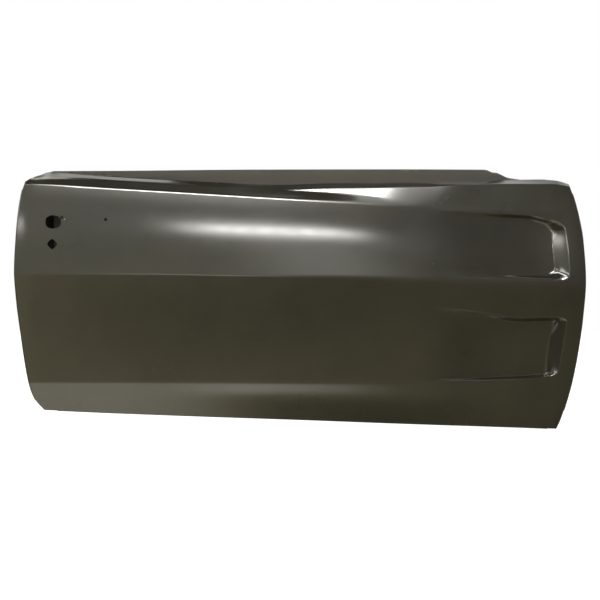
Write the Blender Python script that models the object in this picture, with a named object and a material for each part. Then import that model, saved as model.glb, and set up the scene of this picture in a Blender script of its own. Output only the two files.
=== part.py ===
"""Bare door shell of a two-door car, right-hand side, in metres.

+X points to the front of the car, -Y out of the car and +Z up. The outer skin is a lofted sheet whose
sections run through seven character lines; its edges are hemmed over the flange of the deep-drawn inner panel.
"""

import math

import bmesh
import bpy
import numpy as np
from mathutils import Matrix, Vector

for old in list(bpy.data.objects):
    bpy.data.objects.remove(old, do_unlink=True)

# Overall form
door_length = 1.330
door_height = 0.6075
door_depth = 0.125
crown_rise = 0.02457
belt_set_in = 0.065
sill_set_in = 0.063
lower_line_set_in = 0.022
edge_roll = 0.0008
edge_roll_width = 0.030
least_rise = 0.001
weld_within = 0.000001

# Sheet
skin_sheet = 0.0009
panel_sheet = 0.0009
rail_sheet = 0.0012
brace_sheet = 0.0010
hinge_sheet = 0.0018
latch_sheet = 0.0015
gap = 0.0003
overrun = 0.010
hem_return = 0.012
belt_flange = 0.015
belt_fold = 0.0022

# Scallops in the front third of the skin
scallop_depth = 0.017
scallop_front_inset = 0.035
scallop_front_wall = 0.038
scallop_side_wall = 0.0135
scallop_outer_corner = 0.034
scallop_inner_corner = 0.022
scallop_full = 0.080
scallop_faded = 0.370

# Inner panel
flange_width = 0.016
rear_wall_at = 0.030
rear_ledge_end = 0.072
rear_bend_start = 0.084
rear_face_start = 0.089
rear_least_inset = 0.017
hinge_wall_inset = 0.052
front_least_inset = 0.017
front_draft = 0.001
panel_bend = 0.004
bottom_wall_inset = 0.022
bottom_wall_draft = 0.004
bottom_ledge = 0.014
bottom_face_inset = 0.049
rear_step = 0.010
bottom_step = 0.005
front_step = 0.012
rear_ledge_depth = 0.088
low_ledge_depth = 0.098
ledge_slope = 0.002
corner_radius = 0.045
shelf_width = 0.024
shelf_fold = 0.003
shelf_lip = 0.015

# Openings in the skin
handle_hole_width = 0.037
handle_hole_height = 0.0305
handle_hole_corner = 0.0145
lock_hole_width = 0.0245
lock_hole_height = 0.0252
lock_hole_corner = 0.006
stud_hole = 0.007
pin_hole = 0.007
pin_web = 0.001

# Openings in the inner panel
rear_access_width = 0.345
rear_access_height = 0.225
front_access_width = 0.370
front_access_height = 0.245
access_corner = 0.034
access_lip = 0.006
clip_hole = 0.009
locator_hole = 0.016
drain_slot_length = 0.030
drain_slot_width = 0.008
bead_width = 0.034
bead_depth = 0.006
bead_wall = 0.007
bead_clearance = 0.0275
tall_bead_length = 0.230
long_bead_length = 0.300

# Hinge faces
hinge_pad_height = 0.088
hinge_pad_width = 0.044
hinge_pad_depth_at = 0.090
hinge_hole = 0.012
hinge_hole_pitch = 0.030
hinge_hole_offset = 0.011
nut_plate_thickness = 0.008
nut_plate_width = 0.034
nut_plate_height = 0.080
nut_thread = 0.0085
cage_sheet = 0.0008
cage_clearance = 0.0006
cage_flange = 0.008
cage_height = 0.062
cage_window = 0.020
reinforcement_margin = 0.014
reinforcement_leg = 0.045
reinforcement_bend = 0.006
check_slot_width = 0.016
check_slot_height = 0.034
check_plate_width = 0.040
check_plate_height = 0.062
check_plate_sheet = 0.002

# Latch
latch_opening_width = 0.020
latch_opening_height = 0.042
latch_hole = 0.008
latch_hole_pitch = 0.030
latch_plate_height = 0.100
latch_leg = 0.026
latch_bend = 0.004

# Rails, braces, pads, nuts
outer_rail_top = 0.010
outer_rail_web = 0.022
outer_rail_depth = 0.018
outer_rail_slope = 0.012
outer_rail_leg = 0.012
inner_rail_drop = 0.011
inner_rail_web = 0.028
inner_rail_slope = 0.004
inner_rail_flange = 0.012
brace_stand_off = 0.007
brace_width = 0.064
brace_web = 0.028
brace_flange = 0.014
brace_hat = 0.009
pad_length = 0.052
pad_width = 0.022
nut_across = 0.011
nut_height = 0.006
nut_bore = 0.006
regulator_pitch_x = 0.052
regulator_pitch_z = 0.090

# Places along the door, as shares of its length and height
rear_edge_shares = [(0.074, 0.0513), (0.116, 0.0350), (0.173, 0.0254), (0.269, 0.0173), (0.384, 0.0100),
                    (0.499, 0.0035), (0.614, 0.0000), (0.728, 0.0024), (0.843, 0.0070), (0.916, 0.0129),
                    (0.951, 0.0182)]
front_edge_shares = [(0.000, 0.9505), (0.039, 0.9584), (0.116, 0.9694), (0.192, 0.9781), (0.307, 0.9878),
                     (0.422, 0.9949), (0.575, 1.0000), (0.728, 0.9958), (0.805, 0.9900), (0.882, 0.9816),
                     (0.939, 0.9729)]
sill_shares = [(0.051, 0.0732), (0.151, 0.0636), (0.326, 0.0494), (0.501, 0.0364), (0.676, 0.0218),
               (0.851, 0.0084), (0.950, 0.0000)]
lower_line_shares = [(0.000, 0.1823), (0.081, 0.1846), (0.501, 0.1838), (0.781, 0.1884), (0.886, 0.1961),
                     (0.929, 0.2038), (0.999, 0.2172)]
side_line_shares = [(0.000, 0.5982), (0.238, 0.5975), (0.378, 0.5921), (0.553, 0.5887), (0.728, 0.5783),
                    (0.816, 0.5695), (0.956, 0.5599), (0.999, 0.5580)]
shoulder_shares = [(0.011, 0.9422), (0.064, 0.9391), (0.203, 0.9238), (0.378, 0.9008), (0.553, 0.8771),
                   (0.676, 0.8587), (0.728, 0.8525), (0.837, 0.8411), (0.973, 0.8307), (0.999, 0.8288)]
valley_shares = [(0.011, 0.9445), (0.029, 0.9533), (0.055, 0.9609), (0.081, 0.9602), (0.186, 0.9487),
                 (0.291, 0.9372), (0.396, 0.9268), (0.466, 0.9184), (0.536, 0.9104), (0.606, 0.8970),
                 (0.676, 0.8836), (0.746, 0.8663), (0.798, 0.8568), (0.886, 0.8491), (0.999, 0.8441)]
crest_shares = [(0.011, 0.9468), (0.029, 0.9575), (0.055, 0.9717), (0.081, 0.9701), (0.186, 0.9560),
                (0.291, 0.9448), (0.396, 0.9299), (0.461, 0.9203), (0.536, 0.9257), (0.606, 0.9299),
                (0.711, 0.9326), (0.781, 0.9395), (0.851, 0.9429), (0.938, 0.9399), (0.977, 0.9322)]
belt_shares = [(0.011, 0.9483), (0.018, 0.9506), (0.029, 0.9648), (0.046, 0.9774), (0.060, 0.9881),
               (0.081, 0.9851), (0.133, 0.9755), (0.238, 0.9609), (0.343, 0.9494), (0.466, 0.9391),
               (0.536, 0.9445), (0.676, 0.9487), (0.816, 0.9525), (0.860, 0.9583), (0.921, 0.9598),
               (0.947, 0.9563), (0.977, 0.9383)]
panel_top_shares = [(0.060, 0.9889), (0.067, 0.9931), (0.186, 0.9943), (0.413, 0.9989), (0.676, 1.0000),
                    (0.823, 0.9985), (0.829, 0.9965), (0.8375, 0.9880), (0.8455, 0.9868), (0.854, 0.9785),
                    (0.861, 0.9705), (0.868, 0.9660), (0.886, 0.9605), (0.903, 0.9570), (0.929, 0.9530),
                    (0.961, 0.9410)]
upper_scallop_top_shares = [(0.80, 0.975), (0.90, 0.960), (0.93, 0.915), (1.00, 0.910)]
lower_scallop_top_shares = [(0.81, 0.697), (0.886, 0.643), (0.95, 0.650)]

# How far each line lies in from the crowned side line, as shares of the set-in that it follows
sill_in_shares = [(0.05, 0.73), (0.95, 1.00)]
shoulder_in_shares = [(0.018, 0.292), (0.081, 0.323), (0.151, 0.338), (0.606, 0.338), (0.746, 0.354),
                      (0.973, 0.362)]
valley_in_shares = [(0.018, 0.354), (0.081, 0.523), (0.151, 0.631), (0.291, 0.785), (0.396, 0.785),
                    (0.466, 0.708), (0.536, 0.585), (0.606, 0.477), (0.676, 0.423), (0.746, 0.394),
                    (0.851, 0.398), (0.973, 0.394)]
crest_in_shares = [(0.018, 0.385), (0.081, 0.569), (0.151, 0.685), (0.291, 0.831), (0.396, 0.823),
                   (0.466, 0.720), (0.536, 0.635), (0.606, 0.598), (0.676, 0.582), (0.746, 0.585),
                   (0.851, 0.638), (0.973, 0.631)]
belt_in_shares = [(0.018, 0.415), (0.058, 0.554), (0.081, 0.615), (0.151, 0.738), (0.291, 0.892),
                  (0.396, 0.954), (0.466, 0.985), (0.606, 1.000), (0.711, 0.992), (0.851, 0.938),
                  (0.973, 0.769)]

# Tilt of the skin in degrees at the two ends of a segment, at the rear and at the front of the door
sill_tilts = ((-26, -22), (-13, -12))
flank_tilts = ((-6.5, -6.5), (-3.5, -3.5))
side_tilts = ((1.5, 3), (11.5, 13))

# Grid of the skin: rows as (segment, share of it), columns as shares of the length
row_shares = [(0, 0), (0, .12), (0, .25), (0, .37), (0, .5), (0, .75), (1, 0), (1, .04), (1, .09), (1, .14),
              (1, .28), (1, .42), (1, .55), (1, .60), (1, .66), (1, .72), (1, .86), (2, 0), (2, .05),
              (2, .11), (2, .17), (2, .3), (2, .45), (2, .6), (2, .74), (2, .84), (2, .89), (2, .94),
              (3, 0), (3, .5), (4, 0), (4, .4), (4, .75), (5, 0), (5, .5), (5, 1)]
column_shares = [0, .010, .022, .04, .066, .10, .145, .20, .27, .34, .41, .48, .55, .62, .68, .73, .775,
                 .81, .84, .865, .886, .903, .918, .930, .940, .950, .960, .9675, .975, .984, .992, 1]
rear_top_row_share = (2, .94)
front_top_row_share = (4, .75)
flank_row_share = (1, 0)
notch_row_share = (0, .37)
notch_column_share = .022
belt_first_share = .10
belt_last_share = .960
rear_knee_share = .145
front_knee_share = .865
rear_top_row = row_shares.index(rear_top_row_share)
front_top_row = row_shares.index(front_top_row_share)
first_flank_row = row_shares.index(flank_row_share)
belt_first_column = column_shares.index(belt_first_share)
belt_last_column = column_shares.index(belt_last_share)
hem_notch_columns = column_shares.index(notch_column_share)
hem_notch_rows = row_shares.index(notch_row_share)

# Heights and places of features, as shares of the door's height or length
upper_hinge_share = 0.797
lower_hinge_share = 0.300
check_strap_share = 0.548
latch_height_share = 0.757
latch_depth_share = 0.552
handle_hole_shares = (0.0690, 0.7970)
pin_turn_share = 0.36
stud_hole_shares = (0.1606, 0.8060)
lock_hole_shares = (0.0672, 0.7124)
lock_turned_share = 0.792
rear_access_shares = (0.285, 0.490)
front_access_shares = (0.745, 0.470)
regulator_height_share = 0.480
tall_bead_height_share = 0.480
long_bead_shares = (0.350, 0.180)
short_bead_shares = (0.700, 0.165)
clip_shares = [(0.105, 0.80), (0.105, 0.60), (0.125, 0.35), (0.150, 0.16), (0.260, 0.86), (0.500, 0.86),
               (0.700, 0.86), (0.860, 0.84), (0.930, 0.62), (0.930, 0.40), (0.920, 0.15), (0.560, 0.135)]
locator_shares = [(0.500, 0.240), (0.500, 0.740)]
rear_locator_height_share = 0.480
drain_shares = (0.20, 0.50, 0.80)
brace_shares = {"rear": 0.285, "front": 0.560}
pad_height_shares = (0.30, 0.47, 0.66)

hem_radius = (skin_sheet + gap + panel_sheet + gap + skin_sheet) / 2
flange_offset = skin_sheet + gap + panel_sheet


def smooth(shares, at):
    """Value at `at` of a monotone curve through the points of shares, straight beyond its ends."""
    xs, ys = np.array(shares, float).T
    steps = np.diff(xs)
    chords = np.diff(ys) / steps
    slopes = np.concatenate([chords[:1], np.zeros(len(xs) - 2), chords[-1:]])
    same = chords[:-1] * chords[1:] > 0
    weights = steps[:-1] + 2 * steps[1:], 2 * steps[:-1] + steps[1:]
    below, above = np.where(same, chords[:-1], 1), np.where(same, chords[1:], 1)
    slopes[1:-1] = np.where(same, sum(weights) / (weights[0] / above + weights[1] / below), 0)
    inside = np.clip(at, xs[0], xs[-1])
    i = np.clip(np.searchsorted(xs, inside) - 1, 0, len(xs) - 2)
    t = (inside - xs[i]) / steps[i]
    value = hermite(t, ys[i], ys[i + 1], slopes[i] * steps[i], slopes[i + 1] * steps[i])
    end_slope = np.where(at < xs[0], slopes[0], slopes[-1])
    return value + end_slope * (at - inside)


def hermite(t, start, end, start_slope, end_slope):
    rest = 1 - t
    return ((1 + 2 * t) * rest**2 * start + t**2 * (3 - 2 * t) * end
            + t * rest**2 * start_slope - t**2 * rest * end_slope)


def ease(t):
    t = np.clip(t, 0, 1)
    return t * t * (3 - 2 * t)


def rear_edge(z):
    return door_length * smooth(rear_edge_shares, z / door_height)


def front_edge(z):
    return door_length * smooth(front_edge_shares, z / door_height)


def heights(x):
    """Heights of the seven character lines at x, from the sill to the belt."""
    tables = (sill_shares, lower_line_shares, side_line_shares, shoulder_shares, valley_shares, crest_shares,
              belt_shares)
    lines = [door_height * smooth(table, x / door_length) for table in tables]
    for k in range(1, len(lines)):
        lines[k] = np.maximum(lines[k], lines[k - 1] + least_rise)
    return lines


def set_ins(x):
    at = x / door_length
    upper = (shoulder_in_shares, valley_in_shares, crest_in_shares, belt_in_shares)
    return [sill_set_in * smooth(sill_in_shares, at), lower_line_set_in + 0 * x, 0 * x] + [
        belt_set_in * smooth(table, at) for table in upper]


def tilt(ends, at):
    """Slope of the skin from its tilts at the rear and at the front."""
    return np.tan(np.radians(ends[0] + (ends[1] - ends[0]) * at))


def recess(x, z, low, top):
    """Depth of a scallop that is open to the rear, between the heights low and top."""
    ahead = front_edge(z) - scallop_front_inset - x
    beside = np.minimum(top - z, z - low)

    def reach(a, b, corner):
        rounded = corner - np.hypot(np.maximum(corner - a, 0), np.maximum(corner - b, 0))
        return np.where((a < corner) & (b < corner), rounded, np.minimum(a, b))

    outer = reach(ahead, beside, scallop_outer_corner)
    inner = reach(ahead - scallop_front_wall, beside - scallop_side_wall, scallop_inner_corner)
    share = np.where(inner >= 0, 1, np.maximum(outer, 0) / np.maximum(outer - inner, weld_within))
    fade = 1 - ease((ahead - scallop_full) / (scallop_faded - scallop_full))
    return scallop_depth * fade * ease(share)


def skin_depth(x, z, scallops=True):
    """How far the skin's outer face lies in from its outermost point, at any place on the door."""
    x, z = np.asarray(x, float), np.asarray(z, float)
    at = x / door_length
    lines, ins = heights(x), set_ins(x)
    bends = [[tilt(low, at), tilt(high, at)] for low, high in (sill_tilts, flank_tilts, side_tilts)]
    depth = 0 * x
    for k in range(len(lines) - 1):
        rise = lines[k + 1] - lines[k]
        t = (z - lines[k]) / rise
        if k < len(bends):
            value = hermite(np.clip(t, 0, 1), ins[k], ins[k + 1], bends[k][0] * rise, bends[k][1] * rise)
            value = value + np.minimum(t, 0) * bends[k][0] * rise
        else:
            value = ins[k] + t * (ins[k + 1] - ins[k])
        depth = value if k == 0 else np.where(t >= 0, value, depth)
    depth = depth + crown_rise * (2 * at - 1) ** 2
    for edge in (x - rear_edge(z), front_edge(z) - x):
        depth = depth + edge_roll * np.maximum(1 - edge / edge_roll_width, 0) ** 2
    if scallops:
        upper_top = lines[2] + (lines[3] - lines[2]) * smooth(upper_scallop_top_shares, at)
        lower_top = lines[1] + (lines[2] - lines[1]) * smooth(lower_scallop_top_shares, at)
        depth = depth + recess(x, z, lines[2], upper_top) + recess(x, z, lines[1], lower_top)
    return depth


def row_height(x, segment, share):
    lines = heights(x)
    lines[0] = lines[0] + hem_radius
    return lines[segment] + share * (lines[segment + 1] - lines[segment])


def column_at(z, share):
    first, last = rear_edge(z) + hem_radius, front_edge(z) - hem_radius
    return first + share * (last - first)


def settle(share, segment, row_share):
    """Place on the door where a column and a row cross."""
    x = share * door_length
    for _ in range(8):
        z = row_height(x, segment, row_share)
        x = column_at(z, share)
    return x, z


def on_skin(x, z, inward=0.0, scallops=True):
    """Point of the skin's outer face at x and z, moved inward along the face's own normal."""
    step = gap
    slope_x = (skin_depth(x + step, z, scallops) - skin_depth(x - step, z, scallops)) / (2 * step)
    slope_z = (skin_depth(x, z + step, scallops) - skin_depth(x, z - step, scallops)) / (2 * step)
    point = np.stack([x, skin_depth(x, z, scallops), z], -1)
    normal = np.stack([slope_x, 0 * slope_x - 1, slope_z], -1)
    normal = normal / np.linalg.norm(normal, axis=-1, keepdims=True)
    return point - normal * inward, normal


def unit(v):
    return v / np.linalg.norm(v, axis=-1, keepdims=True)


def hem(edge, normal, outward, length, steps=5):
    """Rows of points from an edge round its fold and back along the inside."""
    centre = edge - normal * hem_radius
    rows = [edge]
    for k in range(1, steps + 1):
        turn = math.pi * k / steps
        rows.append(centre + hem_radius * (normal * math.cos(turn) + outward * math.sin(turn)))
    rows.append(rows[-1] - outward * length)
    return np.array(rows)


parts = []
hinge_x = door_length - hinge_wall_inset
origin = Vector((hinge_x, hinge_pad_depth_at, upper_hinge_share * door_height))


def finish(name, mesh, cutter=False):
    mesh.transform(Matrix.Translation(-origin))
    obj = bpy.data.objects.new(name, mesh)
    bpy.context.scene.collection.objects.link(obj)
    if cutter:
        obj.hide_render = True
        obj.display_type = "WIRE"
        return obj
    obj.data.materials.append(bpy.data.materials.new(name))
    material = obj.data.materials[0]
    material.use_nodes = True
    shader = material.node_tree.nodes["Principled BSDF"]
    colour = pad_colour if name.startswith("mastic") else coat_colour
    shader.inputs["Base Color"].default_value = (*colour, 1)
    shader.inputs["Roughness"].default_value = 0.8 if name.startswith("mastic") else 0.35
    parts.append(obj)
    return obj


coat_colour = (0.030, 0.026, 0.018)
pad_colour = (0.08, 0.08, 0.085)


def sheet(name, patches, thickness, polygons=()):
    """A closed sheet from patches, each a grid of points on the side that faces away from its thickness."""
    bm = bmesh.new()
    for patch in patches:
        verts = [[bm.verts.new(point) for point in row] for row in patch]
        for low, high in zip(verts, verts[1:]):
            for a, b, c, d in zip(low, low[1:], high[1:], high):
                bm.faces.new((a, b, c, d))
    for polygon in polygons:
        bm.faces.new([bm.verts.new(point) for point in polygon])
    bmesh.ops.remove_doubles(bm, verts=bm.verts, dist=weld_within)
    for face in bm.faces:
        face.smooth = True
    mesh = bpy.data.meshes.new(name)
    bm.to_mesh(mesh)
    bm.free()
    obj = finish(name, mesh)
    solid = obj.modifiers.new("Solidify", "SOLIDIFY")
    solid.thickness = thickness
    solid.offset = -1
    solid.use_even_offset = True
    return obj


def loops(bm, rings):
    """Closes a stack of rings of points, capped at both ends."""
    made = [[bm.verts.new(point) for point in ring] for ring in rings]
    for low, high in zip(made, made[1:]):
        for k in range(len(low)):
            n = (k + 1) % len(low)
            bm.faces.new((low[k], low[n], high[n], high[k]))
    bm.faces.new(list(reversed(made[0])))
    bm.faces.new(made[-1])


def solids(name, groups, cutter=False, smooth_sides=False):
    bm = bmesh.new()
    for rings in groups:
        loops(bm, rings)
    bmesh.ops.recalc_face_normals(bm, faces=bm.faces)
    for face in bm.faces:
        face.smooth = smooth_sides and len(face.verts) == 4
    mesh = bpy.data.meshes.new(name)
    bm.to_mesh(mesh)
    bm.free()
    return finish(name, mesh, cutter)


def rounded(width, height, corner, steps=4, turn=0.0):
    """Outline of a rounded rectangle, as pairs."""
    out = []
    for k, (sx, sz) in enumerate(((1, 1), (-1, 1), (-1, -1), (1, -1))):
        for n in range(steps + 1):
            a = math.pi / 2 * (k + n / steps)
            u = sx * (width / 2 - corner) + corner * math.cos(a)
            v = sz * (height / 2 - corner) + corner * math.sin(a)
            out.append((u * math.cos(turn) - v * math.sin(turn), u * math.sin(turn) + v * math.cos(turn)))
    return out


def disc(diameter, sides=14):
    turns = [2 * math.pi * k / sides for k in range(sides)]
    return [(diameter / 2 * math.cos(turn), diameter / 2 * math.sin(turn)) for turn in turns]


def through_y(outline, x, z, first, last):
    return [[(x + u, y, z + v) for u, v in outline] for y in (first, last)]


def through_x(outline, y, z, first, last):
    return [[(x, y + u, z + v) for u, v in outline] for x in (first, last)]


def through_z(outline, x, y, first, last):
    return [[(x + u, y + v, z) for u, v in outline] for z in (first, last)]


def cut(obj, cutter, operation="DIFFERENCE"):
    boolean = obj.modifiers.new(operation.title(), "BOOLEAN")
    boolean.operation = operation
    boolean.solver = "EXACT"
    boolean.use_self = True
    boolean.object = cutter


def place(shares):
    return shares[0] * door_length, shares[1] * door_height


# Outer skin
columns = len(column_shares)
crossings = [settle(np.array(column_shares, float), segment, share) for segment, share in row_shares]
skin_points, skin_normals = on_skin(np.array([x for x, _ in crossings]), np.array([z for _, z in crossings]))


def outward(points, normals, side):
    """In-plane directions off an edge; side is +1 where the edge's cross with the normal points off it."""
    along = np.gradient(points, axis=0)
    return unit(side * np.cross(normals, along))


rear_rows = slice(hem_notch_rows, rear_top_row + 1)
front_rows = slice(hem_notch_rows, front_top_row + 1)
sill_columns = slice(hem_notch_columns, columns - hem_notch_columns)
rear_out = outward(skin_points[:, 0], skin_normals[:, 0], 1)[rear_rows]
front_out = outward(skin_points[:, -1], skin_normals[:, -1], -1)[front_rows]
sill_out = outward(skin_points[0], skin_normals[0], -1)[sill_columns]
rear_hem = hem(skin_points[rear_rows, 0], skin_normals[rear_rows, 0], rear_out, hem_return)
front_hem = hem(skin_points[front_rows, -1], skin_normals[front_rows, -1], front_out, hem_return)
sill_hem = hem(skin_points[0, sill_columns], skin_normals[0, sill_columns], sill_out, hem_return)

belt_columns = slice(belt_first_column, belt_last_column + 1)
belt_edge = skin_points[-1, belt_columns]
belt_up = unit(belt_edge - skin_points[-2, belt_columns])
belt_up[:, 0] = 0
belt_up = unit(belt_up)
belt_normal = np.stack([0 * belt_up[:, 0], -belt_up[:, 2], belt_up[:, 1]], -1)
belt_centre = belt_edge - belt_normal * belt_fold
belt_turn = math.pi / 2 + np.arctan2(belt_up[:, 2], belt_up[:, 1])
belt_rows = [belt_edge]
for k in range(1, 6):
    turn = (belt_turn * k / 5)[:, None]
    belt_rows.append(belt_centre + belt_fold * (belt_normal * np.cos(turn) + belt_up * np.sin(turn)))
belt_rows.append(belt_rows[-1] - np.array([0, 0, belt_flange]))
skin_patches = [skin_points, rear_hem.swapaxes(0, 1)[:, ::-1], front_hem.swapaxes(0, 1), sill_hem[::-1],
                np.array(belt_rows)]
outer_skin = sheet("outer_skin", skin_patches, skin_sheet)

handle_x, handle_z = place(handle_hole_shares)
pin_reach = handle_hole_corner + pin_web + pin_hole / 2
pin_turn = math.pi / 2 * pin_turn_share
pin_x = handle_x + handle_hole_width / 2 - handle_hole_corner + pin_reach * math.cos(pin_turn)
pin_z = handle_z + handle_hole_height / 2 - handle_hole_corner + pin_reach * math.sin(pin_turn)
lock_width, lock_height = [size * lock_turned_share for size in (lock_hole_width, lock_hole_height)]
skin_cuts = [
    through_y(rounded(handle_hole_width, handle_hole_height, handle_hole_corner, 6), handle_x, handle_z, 0,
              door_depth / 2),
    through_y(rounded(lock_width, lock_height, lock_hole_corner, 3, math.pi / 4), *place(lock_hole_shares), 0,
              door_depth / 2),
    through_y(disc(stud_hole), *place(stud_hole_shares), 0, door_depth / 2),
    through_y(disc(pin_hole), pin_x, pin_z, 0, door_depth / 2)]
cut(outer_skin, solids("skin_cutter", skin_cuts, cutter=True))


# Inner panel
def station(rear, bottom, front, radius):
    """Places round the door's rear, sill and front, set in from its edges, with rounded lower corners."""
    corner = []
    for side, share in ((rear, 0.0), (front, 1.0)):
        x = share * door_length
        for _ in range(8):
            z = heights(x)[0] + hem_radius + bottom
            x = side(z)
        corner.append((float(x), float(z)))
    path = []
    for r in range(rear_top_row, 0, -1):
        path.append(side_place(rear, row_shares[r], corner[0][1]))
    path.append(corner[0])
    for share in column_shares[1:-1]:
        if share < rear_knee_share:
            knee = column_at(corner[0][1], rear_knee_share)
            x = corner[0][0] + (knee - corner[0][0]) * share / rear_knee_share
        elif share > front_knee_share:
            knee = column_at(corner[1][1], front_knee_share)
            x = knee + (corner[1][0] - knee) * (share - front_knee_share) / (1 - front_knee_share)
        else:
            x = column_at(heights(share * door_length)[0] + hem_radius + bottom, share)
        path.append((float(x), float(heights(x)[0] + hem_radius + bottom)))
    path.append(corner[1])
    for r in range(1, front_top_row + 1):
        path.append(side_place(front, row_shares[r], corner[1][1]))
    path = np.array(path)
    for at in (rear_top_row, rear_top_row + columns - 1):
        away = np.linalg.norm(path - path[at], axis=1)
        near = [k for k in range(at - first_flank_row - 4, at + 6) if away[k] < radius]
        if len(near) < 3:
            continue
        first, last, middle = path[near[0]].copy(), path[near[-1]].copy(), path[at].copy()
        for k in near:
            t = (k - near[0]) / (near[-1] - near[0])
            path[k] = (1 - t) ** 2 * first + 2 * t * (1 - t) * middle + t * t * last
    return path


def side_place(side, row, corner_z):
    """Place where a row meets a wall; rows below the lower line are squeezed above the corner."""
    segment, share = row
    x = side(row_height(side(0.5 * door_height), segment, share))
    for _ in range(8):
        z = row_height(x, segment, share)
        if segment == 0:
            z = corner_z + share * (heights(x)[1] - corner_z)
        x = side(z)
    return float(x), float(z)


def rear_line(at, least):
    return lambda z: np.maximum(at, rear_edge(z) + hem_radius + least)


def front_line(at, least):
    return lambda z: np.minimum(door_length - at, front_edge(z) - hem_radius - least)


side_count = rear_top_row
corner_front = rear_top_row + columns - 1
flange_edge = hem_radius - panel_sheet
edge_path = station(rear_line(0, gap), gap, front_line(0, gap), 0)
root_path = station(rear_line(0, flange_width - hem_radius), flange_width - hem_radius,
                    front_line(0, flange_width - hem_radius), flange_width)
wall_path = station(rear_line(rear_wall_at, rear_least_inset), bottom_wall_inset,
                    front_line(hinge_wall_inset, front_least_inset), corner_radius * 0.55)
ledge_path = station(rear_line(rear_wall_at, rear_least_inset), bottom_wall_inset + bottom_wall_draft,
                     front_line(hinge_wall_inset, front_least_inset + front_draft), corner_radius * 0.65)
inner_ledge_path = station(rear_line(rear_ledge_end, rear_least_inset + rear_ledge_end - rear_wall_at),
                           bottom_wall_inset + bottom_wall_draft + bottom_ledge,
                           front_line(hinge_wall_inset, front_least_inset + 2 * front_draft),
                           corner_radius * 0.8)
bend_path = station(rear_line(rear_bend_start, rear_least_inset + rear_bend_start - rear_wall_at),
                    bottom_face_inset - panel_bend,
                    front_line(hinge_wall_inset, front_least_inset + 3 * front_draft), corner_radius)
face_path = station(rear_line(rear_face_start, rear_least_inset + rear_face_start - rear_wall_at),
                    bottom_face_inset,
                    front_line(hinge_wall_inset + panel_bend, front_least_inset + panel_bend + 3 * front_draft),
                    corner_radius * 1.1)


def along_path(rear, bottom, front):
    """A value for each place of a path, easing from the side's to the sill's below the lower line."""
    out = []
    for k in range(len(edge_path)):
        if k <= side_count:
            row = row_shares[side_count - k]
            blend = 1 if row[0] >= 1 else row[1]
            out.append(bottom + (rear - bottom) * blend)
        elif k < corner_front:
            out.append(bottom)
        else:
            row = row_shares[k - corner_front]
            blend = 1 if row[0] >= 1 else row[1]
            out.append(bottom + (front - bottom) * blend)
    return np.array(out)


def with_depth(path, depth):
    return np.stack([path[:, 0], depth, path[:, 1]], -1)


edge_ring, _ = on_skin(edge_path[:, 0], edge_path[:, 1], flange_offset, False)
root_ring, _ = on_skin(root_path[:, 0], root_path[:, 1], flange_offset, False)
wall_depth = skin_depth(wall_path[:, 0], wall_path[:, 1], False)
wall_depth = wall_depth + along_path(rear_step, bottom_step, front_step)
ledge_depth = along_path(rear_ledge_depth, low_ledge_depth, low_ledge_depth)
panel_rings = [edge_ring, root_ring, with_depth(wall_path, wall_depth), with_depth(ledge_path, ledge_depth),
               with_depth(inner_ledge_path, ledge_depth + ledge_slope),
               with_depth(bend_path, 0 * ledge_depth + door_depth - panel_bend),
               with_depth(face_path, 0 * ledge_depth + door_depth)]


def panel_top(x):
    return door_height * smooth(panel_top_shares, x / door_length)


strip_start = panel_top_shares[0][0] * door_length
top_places = [share * door_length for share, _ in panel_top_shares]
level_from = panel_top_shares[1][0] * door_length + shelf_width
level_to = panel_top_shares[5][0] * door_length - shelf_width
top_places += [x for x in np.array(column_shares) * door_length if level_from < x < level_to]
top_places = [x for x in sorted(top_places) if x < face_path[-1][0]]
top_edge = [(x, door_depth, float(panel_top(x)) - shelf_fold) for x in top_places]
face_ring = [(x, door_depth, z) for x, z in face_path]
front_end = (float(face_path[-1][0]), door_depth, float(panel_top(face_path[-1][0])) - shelf_fold)
rear_end = (strip_start, door_depth, top_edge[0][2] - shelf_width)
top_edge.append(front_end)
shelf = [top_edge]
for k in range(1, 4):
    turn = math.pi / 2 * k / 3
    in_by, up_by = shelf_fold * (1 - math.cos(turn)), shelf_fold * math.sin(turn)
    shelf.append([(x, y - in_by, z + up_by) for x, y, z in top_edge])
lip_depth = door_depth - shelf_width - shelf_fold / 2
shelf.append([(x, door_depth - shelf_width, z + shelf_fold) for x, y, z in top_edge])
shelf.append([(x, lip_depth, z + shelf_fold / 2) for x, y, z in top_edge])
shelf.append([(x, lip_depth, z + shelf_fold / 2 - shelf_lip) for x, y, z in top_edge])
shelf = np.array([list(reversed(row)) for row in shelf])
inner_face = face_ring + list(reversed(top_edge)) + [rear_end]
inner_panel = sheet("inner_panel", [np.array(panel_rings[::-1]), shelf], panel_sheet,
                    [list(reversed(inner_face))])

mount_x = hinge_x
hinge_heights = [upper_hinge_share * door_height, lower_hinge_share * door_height]
hinge_places = [(hinge_pad_depth_at + side * hinge_hole_offset, z + drop * hinge_hole_pitch)
                for z in hinge_heights for side, drop in ((-1, 1), (1, 0), (-1, -1))]
check_height = check_strap_share * door_height
latch_place = (latch_depth_share * door_depth, latch_height_share * door_height)
latch_places = [(latch_place[0] + side * latch_hole_pitch / 4, latch_place[1] + drop * latch_hole_pitch)
                for side, drop in ((-0.5, 1), (-0.5, -1), (0.6, 1))]
face_back = door_depth - panel_sheet - gap

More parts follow.
